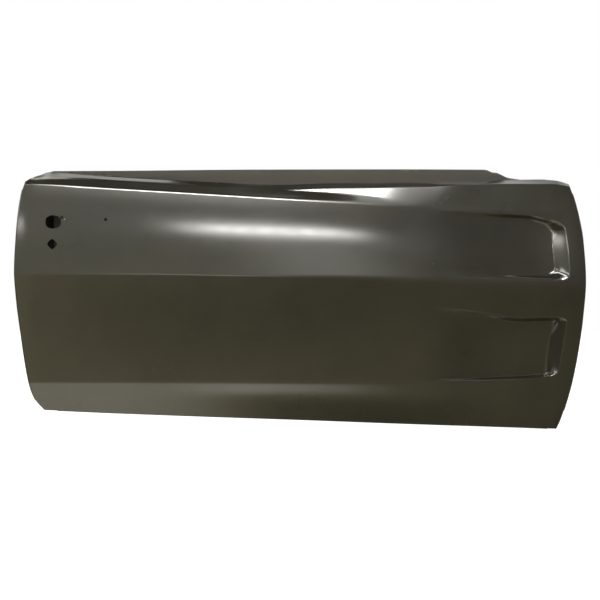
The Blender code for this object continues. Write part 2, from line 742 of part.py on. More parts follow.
panel_cuts = [
    through_y(rounded(rear_access_width, rear_access_height, access_corner, 6), *place(rear_access_shares),
              door_depth - overrun, door_depth + overrun),
    through_y(rounded(front_access_width, front_access_height, access_corner, 6), *place(front_access_shares),
              door_depth - overrun, door_depth + overrun)]
panel_cuts += [through_y(disc(clip_hole, 10), *place(shares), door_depth - overrun, door_depth + overrun)
               for shares in clip_shares]
panel_cuts += [through_y(disc(locator_hole, 16), *place(shares), door_depth - overrun, door_depth + overrun)
               for shares in locator_shares]
rear_access_x, rear_access_z = place(rear_access_shares)
front_access_x, front_access_z = place(front_access_shares)
rear_locator_x = (rear_face_start + rear_access_x - rear_access_width / 2) / 2
panel_cuts.append(through_y(disc(locator_hole, 16), rear_locator_x, rear_locator_height_share * door_height,
                            door_depth - overrun, door_depth + overrun))
tall_bead_x = rear_access_x + rear_access_width / 2 + bead_clearance + bead_width / 2
regulator_x = (tall_bead_x + bead_width / 2 + front_access_x - front_access_width / 2) / 2
regulator_z = regulator_height_share * door_height
regulator_places = [(regulator_x + i * regulator_pitch_x / 2, regulator_z + k * regulator_pitch_z / 2)
                    for i in (-1, 1) for k in (-1, 1)]
panel_cuts += [through_y(disc(nut_bore, 10), x, z, door_depth - overrun, door_depth + overrun)
               for x, z in regulator_places]
hinge_cuts = [through_x(disc(hinge_hole, 12), y, z, hinge_x - overrun / 2, hinge_x + overrun / 2)
              for y, z in hinge_places]
check_slot = rounded(check_slot_width, check_slot_height, check_slot_width / 3, 3)
latch_opening = rounded(latch_opening_width, latch_opening_height, latch_opening_width / 3, 4)
hinge_cuts.append(through_x(check_slot, hinge_pad_depth_at, check_height, hinge_x - overrun / 2,
                            hinge_x + overrun / 2))
latch_cuts = [through_x(latch_opening, *latch_place, rear_wall_at - overrun / 2, rear_wall_at + overrun / 2)]
latch_cuts += [through_x(disc(latch_hole, 10), y, z, rear_wall_at - overrun / 2, rear_wall_at + overrun / 2)
               for y, z in latch_places]
for share in drain_shares:
    x = share * door_length
    z = float(heights(x)[0]) + hem_radius + bottom_wall_inset + bottom_wall_draft + bottom_ledge / 2
    panel_cuts.append(through_z(rounded(drain_slot_length, drain_slot_width, drain_slot_width / 3, 2), x,
                                door_depth - overrun, z - overrun / 2, z + 2 * overrun))


def bead(x, z, length, turn):
    """Cutter and dish of a stiffening bead pressed into the inner face."""
    def loop(inset, steps=5):
        width = bead_width - 2 * inset
        return rounded(length - 2 * inset, width, width / 2 - gap, steps, turn)
    hole = through_y(loop(bead_wall * 0.08), x, z, door_depth - overrun, door_depth + overrun)
    skin = panel_sheet / 16
    top = [(x + u, door_depth - skin, z + v) for u, v in loop(0)]
    floor = [(x + u, door_depth - bead_depth, z + v) for u, v in loop(bead_wall)]
    floor_back = [(x + u, door_depth - bead_depth - panel_sheet, z + v) for u, v in loop(bead_wall)]
    top_back = [(x + u, door_depth - panel_sheet + skin, z + v) for u, v in loop(0)]
    return hole, (top, floor, floor_back, top_back)


def dish(bm, rings):
    top, floor, floor_back, top_back = [[bm.verts.new(point) for point in ring] for ring in rings]
    order = [top, floor, floor_back, top_back]
    count = len(top)
    for low, high in ((top, floor), (floor_back, top_back), (top_back, top)):
        for k in range(count):
            n = (k + 1) % count
            bm.faces.new((low[k], low[n], high[n], high[k]))
    bm.faces.new(order[1])
    bm.faces.new(list(reversed(order[2])))


beads = [bead(tall_bead_x, tall_bead_height_share * door_height, tall_bead_length, math.pi / 2),
         bead(*place(long_bead_shares), long_bead_length, 0.0),
         bead(*place(short_bead_shares), long_bead_length, 0.0)]
panel_cuts += [hole for hole, _ in beads]
bm = bmesh.new()
for _, rings in beads:
    dish(bm, rings)
for width, height, shares in ((rear_access_width, rear_access_height, rear_access_shares),
                              (front_access_width, front_access_height, front_access_shares)):
    x, z = place(shares)
    skin = panel_sheet / 16
    outer, inner = [[(x + u, z + v) for u, v in rounded(width + more, height + more, access_corner + more / 2, 6)]
                    for more in (panel_sheet, -panel_sheet)]
    rings = [[(u, depth, v) for u, v in outline]
             for outline, depth in ((outer, door_depth - skin), (outer, door_depth - access_lip),
                                    (inner, door_depth - access_lip), (inner, door_depth - skin))]
    made = [[bm.verts.new(point) for point in ring] for ring in rings]
    for low, high in zip(made, made[1:] + made[:1]):
        for k in range(len(low)):
            n = (k + 1) % len(low)
            bm.faces.new((low[k], low[n], high[n], high[k]))
bmesh.ops.recalc_face_normals(bm, faces=bm.faces)
mesh = bpy.data.meshes.new("pressed_forms")
bm.to_mesh(mesh)
bm.free()
pressed_forms = finish("pressed_forms", mesh, cutter=True)
cut(inner_panel, solids("panel_cutter", panel_cuts + hinge_cuts + latch_cuts, cutter=True))
cut(inner_panel, pressed_forms, "UNION")


# Rails
def rail(name, rows, thickness):
    return sheet(name, [np.array(rows)], thickness)


flange_end = belt_rows[-1]
flange_face = [(x, y - skin_sheet - gap, z) for x, y, z in flange_end]
leg_top = -outer_rail_web - outer_rail_slope
outer_rail_profile = [(0, outer_rail_top), (0, -outer_rail_web), (-outer_rail_depth, leg_top),
                      (-outer_rail_depth, leg_top - outer_rail_leg)]
outer_rail_rows = [[(x, y + out, z + up) for x, y, z in flange_face[:-1]] for out, up in outer_rail_profile]
rail("outer_belt_rail", outer_rail_rows, rail_sheet)

inner_rail_end = hinge_x - reinforcement_leg - overrun
inner_rail_places = [(x, y, z + shelf_fold) for x, y, z in top_edge[2:-1] if x < inner_rail_end]
rail_face = shelf_width + shelf_fold / 2 - panel_sheet - gap
flange_back, web_back = panel_sheet + gap, rail_face - rail_sheet
rail_low = inner_rail_drop + 2 * inner_rail_slope + inner_rail_web
inner_rail_profile = [(flange_back, inner_rail_drop - inner_rail_flange / 2), (flange_back, inner_rail_drop),
                      (web_back, inner_rail_drop + inner_rail_slope), (web_back, rail_low - inner_rail_slope),
                      (flange_back, rail_low), (flange_back, rail_low + inner_rail_flange)]
inner_rail_rows = [[(x, y - out, z - down) for x, y, z in inner_rail_places] for out, down in inner_rail_profile]
rail("inner_belt_rail", inner_rail_rows, rail_sheet)

# Hinge reinforcement: an angle behind the hinge wall and the inner face
low = hinge_heights[1] - hinge_pad_height / 2 - reinforcement_margin
high = hinge_heights[0] + hinge_pad_height / 2
wall_back = hinge_x - panel_sheet - gap
angle_out = float(skin_depth(hinge_x, hinge_heights[0], False)) + front_step + reinforcement_margin / 4
hinge_angle = [(wall_back, angle_out), (wall_back, face_back - reinforcement_bend),
               (wall_back - reinforcement_bend, face_back), (wall_back - reinforcement_leg, face_back)]
levels = [low + (high - low) * k / 4 for k in range(5)]
hinge_rows = [[(x, y, z) for x, y in hinge_angle] for z in levels]
hinge_reinforcement = sheet("hinge_reinforcement", [np.array(hinge_rows)], hinge_sheet)
cut(hinge_reinforcement, solids("hinge_cutter", hinge_cuts, cutter=True))

# Floating nut plates in their cages
plate_front = wall_back - hinge_sheet - gap
cage_depth = nut_plate_thickness + 2 * cage_clearance
for k, side in enumerate(("upper", "lower")):
    z = hinge_heights[k]
    bolts = [(y, height) for y, height in hinge_places if abs(height - z) < hinge_pad_height]
    plate_face = plate_front - cage_clearance
    outline = rounded(nut_plate_width, nut_plate_height, nut_plate_width / 6, 3)
    plate = solids(side + "_hinge_nut_plate", [through_x(outline, hinge_pad_depth_at, z,
                                                         plate_face - nut_plate_thickness, plate_face)])
    threads = [through_x(disc(nut_thread, 16), y, height, plate_front - overrun, plate_front + overrun)
               for y, height in bolts]
    cut(plate, solids(side + "_thread_cutter", threads, cutter=True))
    half = nut_plate_width / 2 + cage_clearance
    outline = [(0, -half - cage_flange), (0, -half), (-cage_depth, -half), (-cage_depth, half), (0, half),
               (0, half + cage_flange)]
    rows = [[(plate_front + x, hinge_pad_depth_at + y, level) for x, y in outline]
            for level in (z - cage_height / 2, z + cage_height / 2)]
    cage = sheet(side + "_nut_plate_cage", [np.array(rows)[:, ::-1]], -cage_sheet)
    opening = rounded(nut_plate_width * 0.7, cage_window, cage_window / 4, 3)
    window = [through_x(opening, hinge_pad_depth_at, z, plate_front - cage_depth - overrun,
                        plate_front - cage_depth + overrun / 4)]
    cut(cage, solids(side + "_cage_cutter", window, cutter=True))

outline = rounded(check_plate_width, check_plate_height, check_plate_width / 8, 3)
check_strap_plate = solids("check_strap_plate", [through_x(outline, hinge_pad_depth_at, check_height,
                                                           plate_front - check_plate_sheet, plate_front)])
strap_cuts = [through_x(check_slot, hinge_pad_depth_at, check_height, plate_front - overrun, plate_front + overrun)]
cut(check_strap_plate, solids("check_cutter", strap_cuts, cutter=True))

# Latch reinforcement: an angle behind the rear wall and its ledge
latch_x = rear_wall_at + panel_sheet + gap
latch_out = float(skin_depth(rear_wall_at, latch_place[1], False)) + rear_step + gap * 6
latch_in = rear_ledge_depth - panel_sheet - gap
latch_angle = [(latch_x + latch_leg, latch_in), (latch_x + latch_bend, latch_in),
               (latch_x, latch_in - latch_bend), (latch_x, latch_out)]
levels = [latch_place[1] + latch_plate_height * (k / 4 - 0.5) for k in range(5)]
latch_rows = [[(x, y, z) for x, y in latch_angle] for z in levels]
latch_reinforcement = sheet("latch_reinforcement", [np.array(latch_rows)], latch_sheet)
cut(latch_reinforcement, solids("latch_cutter", latch_cuts, cutter=True))

# Braces behind the skin, with pads against flutter
brace_half = brace_width / 2
brace_profile = [(-brace_half, brace_hat), (-brace_half + brace_flange, brace_hat), (-brace_web / 2, 0),
                 (brace_web / 2, 0), (brace_half - brace_flange, brace_hat), (brace_half, brace_hat)]
number = 0
for side, share in brace_shares.items():
    middle = share * door_length
    top = float(heights(middle)[6]) - belt_flange - outer_rail_web - outer_rail_slope - gap
    bottom = float(heights(middle)[0]) + bottom_wall_inset + bottom_wall_draft + overrun
    rows = []
    for k in range(13):
        z = bottom + (top - bottom) * k / 12
        rows.append([])
        for u, back in brace_profile:
            inward = skin_sheet + brace_stand_off + back + brace_sheet
            point, _ = on_skin(np.float64(middle + u), np.float64(z), inward)
            rows[-1].append((middle + u, float(point[1]), z))
    brace = sheet("skin_brace_" + side, [np.array(rows)[:, ::-1]], brace_sheet)
    for pad_share in pad_height_shares:
        number += 1
        z = pad_share * door_height
        rings = []
        for inward in (skin_sheet + gap, skin_sheet + brace_stand_off - gap):
            ring = []
            for u, v in rounded(pad_width, pad_length, pad_width / 3, 3):
                point, _ = on_skin(np.float64(middle + u), np.float64(z + v), inward)
                ring.append((middle + u, float(point[1]), z + v))
            rings.append(ring)
        solids("mastic_pad_%d" % number, [rings])

# Weld nuts for the window regulator
for number, (x, z) in enumerate(regulator_places, 1):
    hexagon = disc(nut_across / math.cos(math.pi / 6), 6)
    nut = solids("regulator_nut_%d" % number, [through_y(hexagon, x, z, face_back - nut_height, face_back)])
    bore = through_y(disc(nut_bore, 12), x, z, face_back - overrun, face_back + overrun)
    cut(nut, solids("nut_cutter_%d" % number, [bore], cutter=True))
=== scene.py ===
"""Looks of a bare car door shell: satin electro-coat over a finely meshed skin, in a pale studio."""

import math

import bmesh
import bpy
import numpy as np
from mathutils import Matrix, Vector


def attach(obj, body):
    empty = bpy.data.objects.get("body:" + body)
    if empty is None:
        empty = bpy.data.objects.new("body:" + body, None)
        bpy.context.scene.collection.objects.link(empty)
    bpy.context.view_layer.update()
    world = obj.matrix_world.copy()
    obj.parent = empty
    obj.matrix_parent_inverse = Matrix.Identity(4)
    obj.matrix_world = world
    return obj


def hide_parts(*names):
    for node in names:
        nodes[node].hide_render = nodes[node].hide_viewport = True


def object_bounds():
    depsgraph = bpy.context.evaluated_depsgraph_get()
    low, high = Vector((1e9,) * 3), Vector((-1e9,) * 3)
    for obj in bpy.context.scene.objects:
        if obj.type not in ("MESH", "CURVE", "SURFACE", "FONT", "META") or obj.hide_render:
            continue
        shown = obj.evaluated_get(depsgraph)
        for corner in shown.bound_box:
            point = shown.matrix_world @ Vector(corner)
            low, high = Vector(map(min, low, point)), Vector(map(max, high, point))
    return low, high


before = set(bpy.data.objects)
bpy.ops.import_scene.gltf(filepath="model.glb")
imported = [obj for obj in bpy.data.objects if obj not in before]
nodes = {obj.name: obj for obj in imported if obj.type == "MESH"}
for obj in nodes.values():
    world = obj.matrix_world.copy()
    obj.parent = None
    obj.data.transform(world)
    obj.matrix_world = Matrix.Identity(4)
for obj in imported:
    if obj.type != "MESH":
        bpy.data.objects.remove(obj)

scene = bpy.context.scene
cad_low, cad_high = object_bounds()

# The skin's form, with the same named sizes and shares as the part's source. Lengths are in metres
door_length = 1.330
door_height = 0.6075
crown_rise = 0.02457
belt_set_in = 0.065
sill_set_in = 0.063
lower_line_set_in = 0.022
edge_roll = 0.0008
edge_roll_width = 0.030
least_rise = 0.001
skin_sheet = 0.0009
gap = 0.0003
hem_radius = 0.00165
hem_return = 0.012
belt_flange = 0.015
belt_fold = 0.0022
origin = np.array((1.278, 0.090, 0.484178))

# The scallops' walls are finer and rounder here than in the solids, and fade out sooner towards the rear
scallop_depth = 0.017
scallop_front_inset = 0.038
scallop_front_wall = 0.035
scallop_full = 0.040
scallop_faded = 0.320
upper_scallop_walls = 0.0135, 0.021
lower_scallop_walls = 0.0135, 0.008
upper_scallop_corners = (0.032, 0.019), (0.022, 0.016)
lower_scallop_corner = 1.0
upper_scallop_lift = 0.005
wall_rounding = 0.05
side_rounding = 0.48
blend_width = 0.024
wall_bulge = 0.04

rear_edge_shares = [(0.074, 0.0513), (0.116, 0.0350), (0.173, 0.0254), (0.269, 0.0173), (0.384, 0.0100),
                    (0.499, 0.0035), (0.614, 0.0000), (0.728, 0.0024), (0.843, 0.0070), (0.916, 0.0129),
                    (0.951, 0.0182)]
front_edge_shares = [(0.000, 0.9505), (0.039, 0.9584), (0.116, 0.9694), (0.192, 0.9781), (0.307, 0.9878),
                     (0.422, 0.9949), (0.575, 1.0000), (0.728, 0.9958), (0.805, 0.9900), (0.882, 0.9816),
                     (0.939, 0.9729)]
sill_shares = [(0.051, 0.0732), (0.151, 0.0636), (0.326, 0.0494), (0.501, 0.0364), (0.676, 0.0218),
               (0.851, 0.0084), (0.950, 0.0000)]
lower_line_shares = [(0.000, 0.1823), (0.081, 0.1846), (0.501, 0.1838), (0.781, 0.1884), (0.886, 0.1961),
                     (0.929, 0.2038), (0.999, 0.2172)]
side_line_shares = [(0.000, 0.5982), (0.238, 0.5975), (0.378, 0.5921), (0.553, 0.5887), (0.728, 0.5783),
                    (0.816, 0.5695), (0.956, 0.5599), (0.999, 0.5580)]
shoulder_shares = [(0.011, 0.9422), (0.064, 0.9391), (0.203, 0.9238), (0.378, 0.9008), (0.553, 0.8771),
                   (0.676, 0.8587), (0.728, 0.8525), (0.837, 0.8411), (0.973, 0.8307), (0.999, 0.8288)]
valley_shares = [(0.011, 0.9445), (0.029, 0.9533), (0.055, 0.9609), (0.081, 0.9602), (0.186, 0.9487),
                 (0.291, 0.9372), (0.396, 0.9268), (0.466, 0.9184), (0.536, 0.9104), (0.606, 0.8970),
                 (0.676, 0.8836), (0.746, 0.8663), (0.798, 0.8568), (0.886, 0.8491), (0.999, 0.8441)]
crest_shares = [(0.011, 0.9468), (0.029, 0.9575), (0.055, 0.9717), (0.081, 0.9701), (0.186, 0.9560),
                (0.291, 0.9448), (0.396, 0.9299), (0.461, 0.9203), (0.536, 0.9257), (0.606, 0.9299),
                (0.711, 0.9326), (0.781, 0.9395), (0.851, 0.9429), (0.938, 0.9399), (0.977, 0.9322)]
belt_shares = [(0.011, 0.9483), (0.018, 0.9506), (0.029, 0.9648), (0.046, 0.9774), (0.060, 0.9881),
               (0.081, 0.9851), (0.133, 0.9755), (0.238, 0.9609), (0.343, 0.9494), (0.466, 0.9391),
               (0.536, 0.9445), (0.676, 0.9487), (0.816, 0.9525), (0.860, 0.9583), (0.921, 0.9598),
               (0.947, 0.9563), (0.977, 0.9383)]
upper_scallop_top_shares = [(0.80, 0.975), (0.90, 0.960), (0.93, 0.915), (1.00, 0.910)]
lower_scallop_top_shares = [(0.81, 0.697), (0.886, 0.643), (0.95, 0.650)]
sill_in_shares = [(0.05, 0.73), (0.95, 1.00)]
shoulder_in_shares = [(0.018, 0.292), (0.081, 0.323), (0.151, 0.338), (0.606, 0.338), (0.746, 0.354),
                      (0.973, 0.362)]
valley_in_shares = [(0.018, 0.354), (0.081, 0.523), (0.151, 0.631), (0.291, 0.785), (0.396, 0.785),
                    (0.466, 0.708), (0.536, 0.585), (0.606, 0.477), (0.676, 0.423), (0.746, 0.394),
                    (0.851, 0.398), (0.973, 0.394)]
crest_in_shares = [(0.018, 0.385), (0.081, 0.569), (0.151, 0.685), (0.291, 0.831), (0.396, 0.823),
                   (0.466, 0.720), (0.536, 0.635), (0.606, 0.598), (0.676, 0.582), (0.746, 0.585),
                   (0.851, 0.638), (0.973, 0.631)]
belt_in_shares = [(0.018, 0.415), (0.058, 0.570), (0.081, 0.635), (0.151, 0.742), (0.291, 0.892),
                  (0.396, 0.954), (0.466, 0.985), (0.606, 1.000), (0.711, 0.992), (0.851, 0.938),
                  (0.973, 0.769)]

# Tilts of the three lower bands in degrees: at the foot (rear, front), then at the top (rear, front)
sill_tilts = ((-26, -22), (-13, -12))
flank_tilts = ((-6.5, -6.5), (-3.5, -3.5))
side_tilts = ((1.5, 3), (11.5, 13))

# Half widths of the rounding at each line, from the sill to the belt, at the rear and at the front. The
# shoulder's is a small share of that at its rear end, and opens between two shares of the length
crease_radii = [(0.002, 0.002), (0.006, 0.030), (0.0035, 0.020), (0.0048, 0.006), (0.0020, 0.0035),
                (0.0015, 0.0025), (0.0015, 0.0015)]
first_round, last_round = 0.30, 0.95
shoulder_from, shoulder_to, shoulder_least = 0.055, 0.125, 0.12

# The lines are rounded by a weighted mean over these shares of the half width
round_taps = np.linspace(-1, 1, 13)
round_weights = (1 - round_taps**2) ** 1.5

# The mesh of the skin: rows in each band from the sill up, how much closer they stand by the lines and over
# which share of a band, and how much closer the columns and rows stand between two shares, with soft ends
column_count = 216
band_rows = (18, 70, 62, 9, 11, 11)
line_crowding, line_reach = 4, 0.05
column_crowding = [(2.0, 0.84, 2.0, 0.05), (3.0, -1.0, 0.0, 0.02), (3.5, 0.925, 0.972, 0.012)]
row_crowding = [[], [(3.0, 0.50, 0.70, 0.06)], [(2.0, 0.78, 2.0, 0.08), (1.5, -1.0, 0.14, 0.08)], [], [], []]
spread_samples = 4001
settle_rounds = 8
fold_steps = 8
edge_play = 0.00003
weld_distance = 1e-6

# Where the skin's edges are hemmed and folded: a band and the share of its height, or a share of the length
rear_hem_top, front_hem_top, corner_row = (2, 0.94), (4, 0.75), (0, 0.37)
corner_column = 0.022
belt_fold_rear, belt_fold_front = 0.10, 0.960


def hermite(t, start, end, start_slope, end_slope):
    rest = 1 - t
    return ((1 + 2 * t) * rest**2 * start + t**2 * (3 - 2 * t) * end
            + t * rest**2 * start_slope - t**2 * rest * end_slope)


def smooth(shares, at):
    """Value at `at` of a monotone curve through the points of shares, straight beyond its ends."""
    xs, ys = np.array(shares, float).T
    steps = np.diff(xs)
    chords = np.diff(ys) / steps
    slopes = np.concatenate([chords[:1], np.zeros(len(xs) - 2), chords[-1:]])
    same = chords[:-1] * chords[1:] > 0
    weights = steps[:-1] + 2 * steps[1:], 2 * steps[:-1] + steps[1:]
    below, above = np.where(same, chords[:-1], 1), np.where(same, chords[1:], 1)
    slopes[1:-1] = np.where(same, sum(weights) / (weights[0] / above + weights[1] / below), 0)
    inside = np.clip(at, xs[0], xs[-1])
    i = np.clip(np.searchsorted(xs, inside) - 1, 0, len(xs) - 2)
    t = (inside - xs[i]) / steps[i]
    value = hermite(t, ys[i], ys[i + 1], slopes[i] * steps[i], slopes[i + 1] * steps[i])
    end_slope = np.where(at < xs[0], slopes[0], slopes[-1])
    return value + end_slope * (at - inside)


def ease(t):
    t = np.clip(t, 0, 1)
    return t * t * (3 - 2 * t)


def after(value, start, soft):
    """0 up to start, and from there softly up to 1 at start + soft."""
    return ease((value - start) / soft)


def window(value, start, stop, soft):
    """Rises from 0 to 1 over soft from start on, and falls back over soft from stop on."""
    return after(value, start, soft) * (1 - after(value, stop, soft))


def crowding(at, table):
    """How much closer than elsewhere the mesh's lines stand, from rows of strength, start, stop and soft."""
    return sum((more * window(at, start, stop, soft) for more, start, stop, soft in table), 0 * at)


def rear_edge(z):
    return door_length * smooth(rear_edge_shares, z / door_height)


def front_edge(z):
    return door_length * smooth(front_edge_shares, z / door_height)


def heights(x):
    """Heights of the seven character lines at x, from the sill to the belt."""
    tables = (sill_shares, lower_line_shares, side_line_shares, shoulder_shares, valley_shares, crest_shares,
              belt_shares)
    lines = [door_height * smooth(table, x / door_length) for table in tables]
    for k in range(1, len(lines)):
        lines[k] = np.maximum(lines[k], lines[k - 1] + least_rise)
    return lines


def set_ins(x):
    """How far each of the seven lines lies in from the skin's outermost point."""
    at = x / door_length
    upper = (shoulder_in_shares, valley_in_shares, crest_in_shares, belt_in_shares)
    return [sill_set_in * smooth(sill_in_shares, at), lower_line_set_in + 0 * x, 0 * x] + [
        belt_set_in * smooth(table, at) for table in upper]


def tilt(ends, at):
    return np.tan(np.radians(ends[0] + (ends[1] - ends[0]) * at))


def ramp(t, rounded_share):
    """From 0 to 1, nearly straight, with its two ends rounded over a share of the way and a slight bulge."""
    t = np.clip(t, 0, 1)
    straight = 1 - rounded_share
    foot = t**2 / (2 * rounded_share * straight)
    head = 1 - (1 - t)**2 / (2 * rounded_share * straight)
    middle_part = (t - rounded_share / 2) / straight
    line = np.where(t < rounded_share, foot, np.where(t > straight, head, middle_part))
    return line + wall_bulge * 4 * line * (1 - line)


def reach(a, b, corner):
    """The lesser of two distances from two sides, with the corner between the sides rounded."""
    past_corner = corner - np.hypot(np.maximum(corner - a, 0), np.maximum(corner - b, 0))
    return np.where((a < corner) & (b < corner), past_corner, np.minimum(a, b))


def recess(x, z, low, top, walls, corners):
    """Depth of a scallop that is open to the rear, between the heights low and top.

    With corners, the walls run between an outer and an inner outline, whose corner radii differ at the top
    and at the foot. Without, the walls meet as shares of their own widths."""
    ahead = front_edge(z) - scallop_front_inset - x
    under, over = top - z, z - low
    beside = np.minimum(under, over)
    if corners is None:
        across = np.minimum(under / walls[0], over / walls[1])
        share = reach(ahead / scallop_front_wall, across, lower_scallop_corner)
    else:
        inside = np.minimum(under - walls[0], over - walls[1])
        outer_corner, inner_corner = (np.where(under < over, at_top, at_foot)
                                      for at_top, at_foot in zip(*corners))
        outer = reach(ahead, beside, outer_corner)
        inner = reach(ahead - scallop_front_wall, inside, inner_corner)
        share = np.where(inner >= 0, 1, np.maximum(outer, 0) / np.maximum(outer - inner, 1e-9))
    fade = 1 - after(ahead, scallop_full, scallop_faded - scallop_full)
    in_front = ease(0.5 + (beside - ahead) / blend_width)
    return scallop_depth * fade * ramp(share, side_rounding + (wall_rounding - side_rounding) * in_front)


def sharp_depth(x, z):
    """How far the skin's outer face lies in from its outermost point, with sharp lines and no scallop."""
    at = x / door_length
    lines, ins = heights(x), set_ins(x)
    bends = [[tilt(ends[0], at), tilt(ends[1], at)] for ends in (sill_tilts, flank_tilts, side_tilts)]
    depth = 0 * x
    for k in range(len(lines) - 1):
        rise = lines[k + 1] - lines[k]
        t = (z - lines[k]) / rise
        if k < len(bends):
            value = hermite(np.clip(t, 0, 1), ins[k], ins[k + 1], bends[k][0] * rise, bends[k][1] * rise)
            value = value + np.minimum(t, 0) * bends[k][0] * rise
        else:
            value = ins[k] + t * (ins[k + 1] - ins[k])
        depth = value if k == 0 else np.where(t >= 0, value, depth)
    return depth


def rounding(x, z):
    """Half width of the rounding at a place, between those of the lines below and above it."""
    lines = heights(x)
    at = after(x / door_length, first_round, last_round - first_round)
    radii = [rear + (front - rear) * at for rear, front in crease_radii]
    opened = after(x / door_length, shoulder_from, shoulder_to - shoulder_from)
    radii[3] = radii[3] * (shoulder_least + (1 - shoulder_least) * opened)
    out = radii[0]
    for k in range(len(lines) - 1):
        t = np.clip((z - lines[k]) / (lines[k + 1] - lines[k]), 0, 1)
        out = np.where(z >= lines[k], radii[k] + (radii[k + 1] - radii[k]) * t, out)
    return out


def skin_depth(x, z):
    """The skin's depth with its lines rounded, its edges rolled and its two scallops pressed in."""
    x, z = np.asarray(x, float), np.asarray(z, float)
    at = x / door_length
    radius = rounding(x, z)
    depth = sum(weight * sharp_depth(x, z + radius * tap) for tap, weight in zip(round_taps, round_weights))
    depth = depth / round_weights.sum() + crown_rise * (2 * at - 1) ** 2
    for edge in (x - rear_edge(z), front_edge(z) - x):
        depth = depth + edge_roll * np.maximum(1 - edge / edge_roll_width, 0) ** 2
    lines = heights(x)
    upper_low, lower_low = lines[2] + upper_scallop_lift, lines[1]
    upper_top = lines[2] + (lines[3] - lines[2]) * smooth(upper_scallop_top_shares, at)
    lower_top = lines[1] + (lines[2] - lines[1]) * smooth(lower_scallop_top_shares, at)
    depth = depth + recess(x, z, upper_low, upper_top, upper_scallop_walls, upper_scallop_corners)
    return depth + recess(x, z, lower_low, lower_top, lower_scallop_walls, None)


def settle(share, band, row_share):
    """Place on the door where a column and a row cross."""
    x = share * door_length
    for _ in range(settle_rounds):
        lines = heights(x)
        lines[0] = lines[0] + hem_radius
        z = lines[band] + row_share * (lines[band + 1] - lines[band])
        first, last = rear_edge(z) + hem_radius + edge_play, front_edge(z) - hem_radius - edge_play
        x = first + share * (last - first)
    return x, z


def unit(v):
    return v / np.linalg.norm(v, axis=-1, keepdims=True)


def on_skin(x, z):
    """Points of the skin's outer face and its outward normals there."""
    step = gap
    slope_x = (skin_depth(x + step, z) - skin_depth(x - step, z)) / (2 * step)
    slope_z = (skin_depth(x, z + step) - skin_depth(x, z - step)) / (2 * step)
    return (np.stack([x, skin_depth(x, z), z], -1),
            unit(np.stack([slope_x, 0 * slope_x - 1, slope_z], -1)))


def spread(count, density):
    """Shares from 0 to 1, closer together where density is higher."""
    fine = np.linspace(0, 1, spread_samples)
    total = np.concatenate([[0], np.cumsum((density(fine[1:]) + density(fine[:-1])) / 2)])
    return np.interp(np.linspace(0, total[-1], count), total, fine)


def folded(centre, radius, normal, away, angle):
    """Rows of an edge that is bent back through an angle about a centre line."""
    turns = (angle * k / fold_steps for k in range(1, fold_steps + 1))
    return [centre + radius * (normal * np.cos(turn) + away * np.sin(turn)) for turn in turns]


def hem(edge, normal, away):
    """Rows of an edge that is folded flat behind the skin."""
    rows = [edge] + folded(edge - normal * hem_radius, hem_radius, normal, away, math.pi)
    return np.array(rows + [rows[-1] - away * hem_return])


def from_patches(name, patches):
    """One mesh from grids of points in the door's own axes, moved to the frame's origin."""
    bm = bmesh.new()
    for patch in patches:
        verts = [[bm.verts.new(point) for point in row] for row in patch - origin]
        for low, high in zip(verts, verts[1:]):
            for corners in zip(low, low[1:], high[1:], high):
                bm.faces.new(corners)
    bmesh.ops.remove_doubles(bm, verts=bm.verts, dist=weld_distance)
    for face in bm.faces:
        face.smooth = True
    return object_from(name, bm)


def object_from(name, bm):
    mesh = bpy.data.meshes.new(name)
    bm.to_mesh(mesh)
    bm.free()
    obj = bpy.data.objects.new(name, mesh)
    scene.collection.objects.link(obj)
    return obj


def apply_modifiers(obj):
    bpy.context.view_layer.update()
    mesh = bpy.data.meshes.new_from_object(obj.evaluated_get(bpy.context.evaluated_depsgraph_get()))
    obj.modifiers.clear()
    obj.data = mesh


# Skin: a grid of columns and rows, with hems at the rear, the front and the sill and a flange at the belt
column_shares = spread(column_count, lambda at: 1 + crowding(at, column_crowding))
rows = []
for band, count in enumerate(band_rows):
    shares = spread(count + 1, lambda at: 1 + line_crowding * np.exp(-at / line_reach)
                    + line_crowding * np.exp((at - 1) / line_reach) + crowding(at, row_crowding[band]))
    rows += [(band, share) for share in shares[:-1]]
rows.append((len(band_rows) - 1, 1.0))
crossings = [settle(column_shares, band, share) for band, share in rows]
points, normals = on_skin(np.array([x for x, _ in crossings]), np.array([z for _, z in crossings]))


def row_at(band, share):
    return min(range(len(rows)), key=lambda k: abs(rows[k][0] + rows[k][1] - band - share))


def column_near(share):
    return int(np.argmin(np.abs(column_shares - share)))


def outward(at, side):
    """Directions in the skin's face that point away over an edge of the grid."""
    return unit(side * np.cross(normals[at], np.gradient(points[at], axis=0)))


first_row, first_column = row_at(*corner_row), column_near(corner_column)
rear_rows = slice(first_row, row_at(*rear_hem_top) + 1)
front_rows = slice(first_row, row_at(*front_hem_top) + 1)
sill_columns = slice(first_column, column_count - first_column)
every_row = slice(None)
rear_hem = hem(points[rear_rows, 0], normals[rear_rows, 0], outward((every_row, 0), 1)[rear_rows])
front_hem = hem(points[front_rows, -1], normals[front_rows, -1], outward((every_row, -1), -1)[front_rows])
sill_hem = hem(points[0, sill_columns], normals[0, sill_columns], outward(0, -1)[sill_columns])

